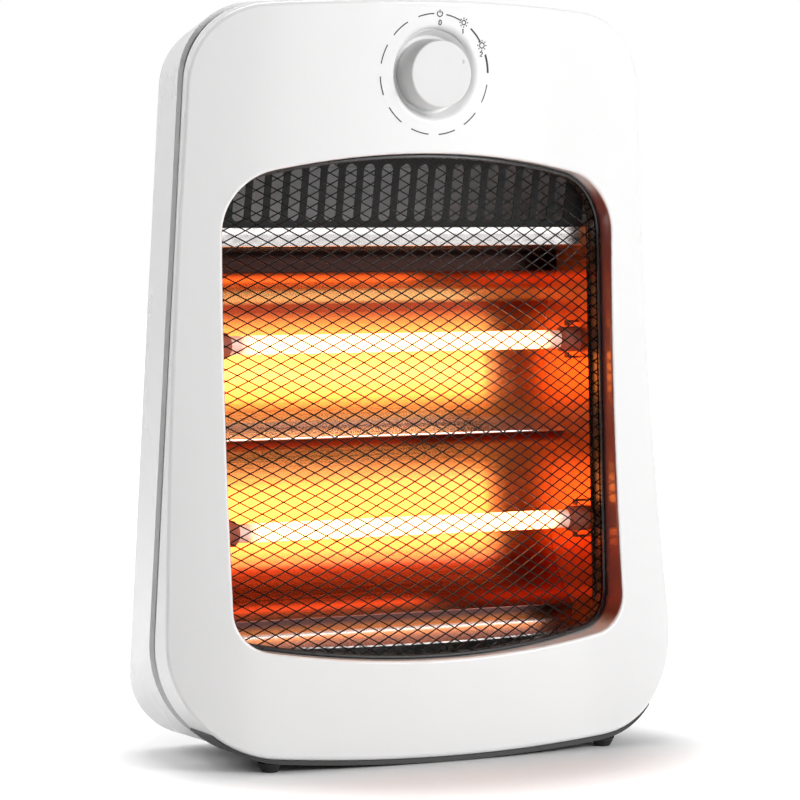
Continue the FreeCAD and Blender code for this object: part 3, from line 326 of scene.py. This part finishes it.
def paint_wall_glow_shade(material):
    """Painted shade with red glow on faces that look toward the middle plane from the window's sides.
    """
    tree_nodes = material.node_tree.nodes
    links = material.node_tree.links
    place_on = add(tree_nodes, "ShaderNodeTexCoord")
    spot = add(tree_nodes, "ShaderNodeSeparateXYZ")
    slope = add(tree_nodes, "ShaderNodeSeparateXYZ")
    inward = add(tree_nodes, "ShaderNodeMath", operation="MULTIPLY")
    mask = add(tree_nodes, "ShaderNodeMapRange", interpolation_type="SMOOTHSTEP")
    mask.inputs["From Min"].default_value = WALL_START * MM
    mask.inputs["From Max"].default_value = WALL_FULL * MM
    links.new(place_on.outputs["Object"], spot.inputs["Vector"])
    links.new(place_on.outputs["Normal"], slope.inputs["Vector"])
    links.new(spot.outputs["X"], inward.inputs[0])
    links.new(slope.outputs["X"], inward.inputs[1])
    links.new(inward.outputs["Value"], mask.inputs["Value"])
    mix_tone(material, mask, WALL_GLOW_SHADE)


def paint_trim_edge_light(material, trim):
    """Painted light on the rear part of the trim, standing in for the casing's lit white edge."""
    depths = [corner[1] for corner in trim.bound_box]
    middle = min(depths) + TRIM_DARK_SHARE * (max(depths) - min(depths))
    tree_nodes = material.node_tree.nodes
    links = material.node_tree.links
    place_on = add(tree_nodes, "ShaderNodeTexCoord")
    spot = add(tree_nodes, "ShaderNodeSeparateXYZ")
    mask = add(tree_nodes, "ShaderNodeMapRange", interpolation_type="SMOOTHSTEP")
    mask.inputs["From Min"].default_value = middle - TRIM_BLEND * MM
    mask.inputs["From Max"].default_value = middle + TRIM_BLEND * MM
    links.new(place_on.outputs["Object"], spot.inputs["Vector"])
    links.new(spot.outputs["Y"], mask.inputs["Value"])
    mix_tone(material, mask, TRIM_PAINTED_LIGHT)


white_gloss = finish_material(
    "white_gloss", moulded, bump=0.04,
    constants={"Coat Weight": 0.2, "Coat Roughness": 0.04, "Specular IOR Level": 0.4},
    Colour=grey(0.88), Shade=grey(0.85), Roughness=0.16, Smudge=0.07,
    Grain_Scale=700.0, Patch_Scale=7.0)
paint_wall_glow_shade(white_gloss)
casing_white = finish_material(
    "casing_white", moulded, bump=0.05, constants={"Specular IOR Level": 0.25},
    Colour=grey(0.88), Shade=grey(0.85), Roughness=0.24, Smudge=0.07,
    Grain_Scale=700.0, Patch_Scale=7.0)
knob_white = finish_material(
    "knob_white", moulded, bump=0.05, constants={"Specular IOR Level": 0.35},
    Colour=grey(0.78), Shade=grey(0.74), Roughness=0.35, Smudge=0.08,
    Grain_Scale=900.0, Patch_Scale=40.0)
grey_trim = finish_material(
    "grey_trim", moulded, bump=0.2, constants={},
    Colour=grey(0.30), Shade=grey(0.26), Roughness=0.38, Smudge=0.1,
    Grain_Scale=1200.0, Patch_Scale=20.0)
paint_trim_edge_light(grey_trim, nodes["seam_frame"])
black_moulding = finish_material(
    "black_moulding", moulded, bump=0.35, constants={},
    Colour=grey(0.018), Shade=grey(0.030), Roughness=0.42, Smudge=0.15,
    Grain_Scale=1500.0, Patch_Scale=25.0)
foot_rubber = finish_material(
    "foot_rubber", moulded, bump=0.4, constants={"Specular IOR Level": 0.3},
    Colour=grey(0.016), Shade=grey(0.034), Roughness=0.62, Smudge=0.2,
    Grain_Scale=2200.0, Patch_Scale=90.0)
mesh_enamel = finish_material(
    "mesh_enamel", moulded, bump=0.25, constants={"Specular IOR Level": 0.12},
    Colour=(0.003, 0.002, 0.002, 1), Shade=(0.006, 0.004, 0.003, 1),
    Roughness=0.24, Smudge=0.12, Grain_Scale=1800.0, Patch_Scale=60.0)
rim_enamel = finish_material(
    "rim_enamel", moulded, bump=0.2, constants={"Specular IOR Level": 0.7},
    Colour=grey(0.030), Shade=grey(0.045), Roughness=0.22, Smudge=0.12,
    Grain_Scale=1800.0, Patch_Scale=60.0)
dark_sheet = finish_material(
    "dark_sheet", moulded, bump=0.2, constants={"Specular IOR Level": 0.25},
    Colour=grey(0.008), Shade=grey(0.016), Roughness=0.36, Smudge=0.2,
    Grain_Scale=1400.0, Patch_Scale=30.0)
# Ceramic caps coloured red as painted glow of the tubes
cap_ceramic = finish_material(
    "cap_ceramic", moulded, bump=0.3, constants={},
    Colour=(0.60, 0.16, 0.09, 1), Shade=(0.42, 0.10, 0.06, 1),
    Roughness=0.55, Smudge=0.2, Grain_Scale=1600.0, Patch_Scale=120.0)
cream_thermoset = finish_material(
    "cream_thermoset", moulded, bump=0.3, constants={},
    Colour=(0.62, 0.56, 0.44, 1), Shade=(0.52, 0.46, 0.35, 1),
    Roughness=0.45, Smudge=0.15, Grain_Scale=1300.0, Patch_Scale=60.0)
dial_print = finish_material(
    "dial_print", moulded, bump=0.02, constants={},
    Colour=grey(0.010), Shade=grey(0.018), Roughness=0.45, Smudge=0.1,
    Grain_Scale=1500.0, Patch_Scale=80.0)
reflector_polish = finish_material(
    "reflector_polish", rolled, bump=0.05, constants={"Metallic": 0.95},
    Roughness=0.12, Line_Rough=0.14)
# Reflector's colour is painted glow, painted highlights and painted shade by height, not a real stain
stain = place(reflector_polish, painted_glow)
for socket in ("Colour", "Tint"):
    reflector_polish.node_tree.links.new(
        stain.outputs["Colour"], reflector_polish.node_tree.nodes["rolled_sheet"].inputs[socket])
# End plates coloured orange-red as painted glow of the tubes
bright_sheet = finish_material(
    "bright_sheet", rolled, bump=0.08, constants={"Metallic": 0.85},
    Colour=(0.80, 0.25, 0.07, 1), Tint=(0.52, 0.15, 0.05, 1),
    Roughness=0.26, Line_Rough=0.16, Stain_Scale=25.0)
scaled_steel = finish_material(
    "scaled_steel", rolled, bump=0.15, constants={"Metallic": 0.6},
    Colour=(0.09, 0.03, 0.025, 1), Tint=(0.05, 0.02, 0.018, 1),
    Roughness=0.38, Line_Rough=0.2)
zinc_steel = finish_material(
    "zinc_steel", rolled, bump=0.1, constants={"Metallic": 1.0},
    Colour=(0.66, 0.66, 0.68, 1), Tint=(0.58, 0.58, 0.57, 1),
    Roughness=0.28, Line_Rough=0.2)


def glow_material(name, hot, cold, strength, base, roughness):
    """Glow that is even along the heated length and fades to the cold ends of the tube."""
    material, tree_nodes, links, shader = new_material(name)
    place_on = add(tree_nodes, "ShaderNodeTexCoord")
    split = add(tree_nodes, "ShaderNodeSeparateXYZ")
    side = add(tree_nodes, "ShaderNodeMath", operation="ABSOLUTE")
    fade = add(tree_nodes, "ShaderNodeMapRange", interpolation_type="SMOOTHSTEP")
    fade.inputs["From Min"].default_value = (GLOW_HALF - GLOW_FADE) * MM
    fade.inputs["From Max"].default_value = (GLOW_HALF + GLOW_FADE) * MM
    cloud = add(tree_nodes, "ShaderNodeTexNoise")
    cloud.inputs["Scale"].default_value = CLOUD_SCALE
    tone = add(tree_nodes, "ShaderNodeMix", data_type="RGBA")
    tone.inputs["A"].default_value = hot
    tone.inputs["B"].default_value = cold
    rough = add(tree_nodes, "ShaderNodeMapRange")
    rough.inputs["To Min"].default_value = roughness
    rough.inputs["To Max"].default_value = roughness + CLOUD_ROUGH
    links.new(place_on.outputs["Object"], split.inputs["Vector"])
    links.new(place_on.outputs["Object"], cloud.inputs["Vector"])
    links.new(split.outputs["X"], side.inputs[0])
    links.new(side.outputs["Value"], fade.inputs["Value"])
    links.new(fade.outputs["Result"], tone.inputs["Factor"])
    links.new(tone.outputs["Result"], shader.inputs["Emission Color"])
    links.new(cloud.outputs["Fac"], rough.inputs["Value"])
    links.new(rough.outputs["Result"], shader.inputs["Roughness"])
    shader.inputs["Base Color"].default_value = base
    shader.inputs["Emission Strength"].default_value = strength
    return material


quartz_glow = glow_material(
    "quartz_glow", TUBE_HOT, TUBE_COLD, TUBE_STRENGTH, TUBE_MILKY, TUBE_ROUGH)
hot_wire = glow_material(
    "hot_wire", WIRE_HOT, WIRE_COLD, WIRE_STRENGTH, WIRE_GREY, WIRE_ROUGH)

finishes = {
    white_gloss: ("front_panel",),
    casing_white: ("rear_casing",),
    knob_white: ("knob",),
    grey_trim: ("seam_frame",),
    black_moulding: ("base_plate", "cord_gland", "tip_switch_housing", "tip_plunger", "switch_body"),
    foot_rubber: ("foot_front_left", "foot_front_right", "foot_rear_left", "foot_rear_right"),
    mesh_enamel: ("grille_mesh",),
    rim_enamel: ("grille_rim",),
    reflector_polish: ("reflector",),
    bright_sheet: ("reflector_end_left", "reflector_end_right"),
    scaled_steel: ("cap_clips",),
    dark_sheet: ("vent_plate",),
    quartz_glow: ("quartz_tube_upper", "quartz_tube_lower"),
    hot_wire: ("heating_coil_upper", "heating_coil_lower"),
    cap_ceramic: ("ceramic_cap_upper_left", "ceramic_cap_upper_right",
                  "ceramic_cap_lower_left", "ceramic_cap_lower_right"),
    zinc_steel: ("switch_shaft", "switch_nut", "tip_spring", "tip_lever",
                 "casing_screws", "reflector_screws"),
    cream_thermoset: ("micro_switch", "terminal_block", "thermal_cutout"),
}
for finish, names in finishes.items():
    for name in names:
        nodes[name].data.materials.clear()
        nodes[name].data.materials.append(finish)


# Dial print

def on_panel(x, z):
    """Point just in front of the panel's face; x and z in millimetres from the knob's axis."""
    start = Vector((x * MM, CAST_FROM * MM, (KNOB_Z + z) * MM))
    _, on_face, normal, _ = nodes["front_panel"].ray_cast(start, Vector((0, 1, 0)))
    return on_face + normal * (PRINT_LIFT * MM)


def ribbon(vertices, faces, points, width, closed=False):
    """Adds a printed line through the points, which are in millimetres from the knob's axis."""
    count = len(points)
    first = len(vertices)
    for index, (x, z) in enumerate(points):
        before = points[index - 1] if index or closed else points[0]
        after = points[(index + 1) % count] if index + 1 < count or closed else points[-1]
        run = Vector((after[0] - before[0], after[1] - before[1])).normalized()
        for side in (-0.5, 0.5):
            vertices.append(on_panel(x - run.y * side * width, z + run.x * side * width))
    for index in range(count if closed else count - 1):
        a = first + 2 * index
        b = first + 2 * ((index + 1) % count)
        faces.append((a, b, b + 1, a + 1))


def clock(angle, radius, centre=(0.0, 0.0)):
    """Point at an angle clockwise from the top."""
    turn = math.radians(angle)
    return (centre[0] + radius * math.sin(turn), centre[1] + radius * math.cos(turn))


def arc_points(start, end, radius, centre=(0.0, 0.0)):
    steps = max(FEWEST_STEPS, round(math.radians(abs(end - start)) * radius / PRINT_STEP))
    return [clock(start + (end - start) * step / steps, radius, centre) for step in range(steps + 1)]


def below_mark(angle, shift):
    """Middle of the numeral under the mark at an angle of the ring."""
    x, z = clock(angle, RING_RADIUS)
    return (x + shift, z - NUMERAL_DROP)


def draw_numerals(draw):
    """Draws 0, 1 and 2 under the marks for off, low and high."""
    half = NUMERAL_HEIGHT / 2
    slim = NUMERAL_SLIM * half
    x, z = below_mark(OFF_ANGLE, NUMERAL_SHIFT)
    turns = [2 * math.pi * step / ZERO_POINTS for step in range(ZERO_POINTS)]
    oval = [(x + slim * math.sin(turn), z + half * math.cos(turn)) for turn in turns]
    draw(oval, FINE_LINE, closed=True)
    x, z = below_mark(LOW_ANGLE, -NUMERAL_SHIFT)
    draw([(x - ONE_FLAG, z + slim), (x, z + half), (x, z - half)], FINE_LINE)
    x, z = below_mark(HIGH_ANGLE, -NUMERAL_SHIFT)
    hook = arc_points(*TWO_HOOK, slim, (x, z + half - slim))
    draw(hook + [(x - slim, z - half), (x + slim, z - half)], FINE_LINE)


def dial_marks():
    """One flat mesh with the broken ring, the arcs, the marks and their numerals."""
    vertices = []
    faces = []

    def draw(points, width, closed=False):
        ribbon(vertices, faces, points, width, closed)

    for start, end in RING_DASHES:
        draw(arc_points(start, end, RING_RADIUS), FINE_LINE)
    for start, end, width in HEAT_ARCS:
        draw(arc_points(start, end, RING_RADIUS), width)
    off = clock(OFF_ANGLE, RING_RADIUS)
    draw(arc_points(OFF_GAP, 360 - OFF_GAP, OFF_RADIUS, off), FINE_LINE)
    draw([(off[0], off[1] + rise) for rise in OFF_STROKE], FINE_LINE)
    for angle, size in ((LOW_ANGLE, LOW_SUN), (HIGH_ANGLE, HIGH_SUN)):
        sun = clock(angle, RING_RADIUS)
        draw(arc_points(*SUN_RING, size, sun), FINE_LINE, closed=True)
        for ray in range(SUN_RAYS):
            draw([clock(360 / SUN_RAYS * ray, size + reach, sun) for reach in SUN_RAY], FINE_LINE)
    draw_numerals(draw)
    mesh = bpy.data.meshes.new("dial_marks")
    mesh.from_pydata(vertices, [], faces)
    mesh.materials.append(dial_print)
    marks = bpy.data.objects.new("dial_marks", mesh)
    bpy.context.scene.collection.objects.link(marks)
    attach(marks, "root")


bpy.context.view_layer.update()
dial_marks()


# Stage, light and camera

def pale_floor():
    """Floor that takes the object's shadow near by and is white further off."""
    mesh = bpy.data.meshes.new("pale_floor")
    corners = [(x * FLOOR_HALF, y * FLOOR_HALF, 0) for x, y in ((-1, -1), (1, -1), (1, 1), (-1, 1))]
    mesh.from_pydata(corners, [], [(0, 1, 2, 3)])
    floor = bpy.data.objects.new("pale_floor", mesh)
    bpy.context.scene.collection.objects.link(floor)
    material, tree_nodes, links, shader = new_material("pale_floor")
    shader.inputs["Base Color"].default_value = grey(FLOOR_GREY)
    shader.inputs["Roughness"].default_value = FLOOR_ROUGH
    shader.inputs["Specular IOR Level"].default_value = FLOOR_SPECULAR
    shader.inputs["Emission Color"].default_value = grey(1.0)
    away = add(tree_nodes, "ShaderNodeVectorMath", operation="LENGTH")
    whiten = add(tree_nodes, "ShaderNodeMapRange", interpolation_type="SMOOTHSTEP")
    whiten.inputs["From Min"].default_value = FLOOR_NEAR
    whiten.inputs["From Max"].default_value = FLOOR_FAR
    path = add(tree_nodes, "ShaderNodeLightPath")
    seen = add(tree_nodes, "ShaderNodeMath", operation="MULTIPLY_ADD")
    seen.inputs[1].default_value = REFLECTED_WHITE
    strength = add(tree_nodes, "ShaderNodeMath", operation="MULTIPLY")
    links.new(add(tree_nodes, "ShaderNodeTexCoord").outputs["Object"], away.inputs[0])
    links.new(away.outputs["Value"], whiten.inputs["Value"])
    links.new(path.outputs["Is Glossy Ray"], seen.inputs[0])
    links.new(path.outputs["Is Camera Ray"], seen.inputs[2])
    links.new(seen.outputs["Value"], strength.inputs[0])
    links.new(whiten.outputs["Result"], strength.inputs[1])
    links.new(strength.outputs["Value"], shader.inputs["Emission Strength"])
    mesh.materials.append(material)


def white_world():
    """White backdrop behind the object, with the darker room of the studio on its front side."""
    world = bpy.data.worlds.new("white_world")
    world.use_nodes = True
    tree_nodes = world.node_tree.nodes
    links = world.node_tree.links
    background = tree_nodes["Background"]
    toward = add(tree_nodes, "ShaderNodeTexCoord")
    split = add(tree_nodes, "ShaderNodeSeparateXYZ")
    room = add(tree_nodes, "ShaderNodeMapRange", interpolation_type="SMOOTHSTEP")
    room.inputs["From Min"].default_value = ROOM_FRONT
    room.inputs["From Max"].default_value = ROOM_BACK
    room.inputs["To Min"].default_value = ROOM_GREY
    path = add(tree_nodes, "ShaderNodeLightPath")
    seen = add(tree_nodes, "ShaderNodeMath", operation="MAXIMUM")
    links.new(toward.outputs["Generated"], split.inputs["Vector"])
    links.new(split.outputs["Y"], room.inputs["Value"])
    links.new(room.outputs["Result"], seen.inputs[0])
    links.new(path.outputs["Is Camera Ray"], seen.inputs[1])
    links.new(seen.outputs["Value"], background.inputs["Color"])
    strength = add(tree_nodes, "ShaderNodeMapRange")
    strength.inputs["To Min"].default_value = WORLD_LIGHT
    links.new(path.outputs["Is Camera Ray"], strength.inputs["Value"])
    links.new(strength.outputs["Result"], background.inputs["Strength"])
    bpy.context.scene.world = world


def soft_lamp(name, place_at, size, power):
    data = bpy.data.lights.new(name, "AREA")
    data.shape = "RECTANGLE"
    data.size, data.size_y = size
    data.energy = power
    lamp = bpy.data.objects.new(name, data)
    lamp.location = place_at
    lamp.rotation_euler = (LAMP_AIM - lamp.location).to_track_quat("-Z", "Y").to_euler()
    bpy.context.scene.collection.objects.link(lamp)


def photo_camera():
    yaw = math.radians(CAMERA_YAW)
    pitch = math.radians(CAMERA_PITCH)
    roll = math.radians(CAMERA_ROLL)
    look = Vector((math.sin(yaw) * math.cos(pitch), math.cos(yaw) * math.cos(pitch), math.sin(pitch)))
    level = Vector((math.cos(yaw), -math.sin(yaw), 0))
    rise = level.cross(look)
    right = level * math.cos(roll) + rise * math.sin(roll)
    up = rise * math.cos(roll) - level * math.sin(roll)
    data = bpy.data.cameras.new("photo_camera")
    data.lens = CAMERA_LENS
    data.sensor_width = SENSOR
    camera = bpy.data.objects.new("photo_camera", data)
    turn = Matrix((right, up, -look)).transposed().to_4x4()
    camera.matrix_world = Matrix.Translation(CAMERA_PLACE) @ turn
    bpy.context.scene.collection.objects.link(camera)
    bpy.context.scene.camera = camera


pale_floor()
white_world()
for lamp_values in LAMPS:
    soft_lamp(*lamp_values)
photo_camera()
bpy.context.scene.view_settings.view_transform = "Standard"
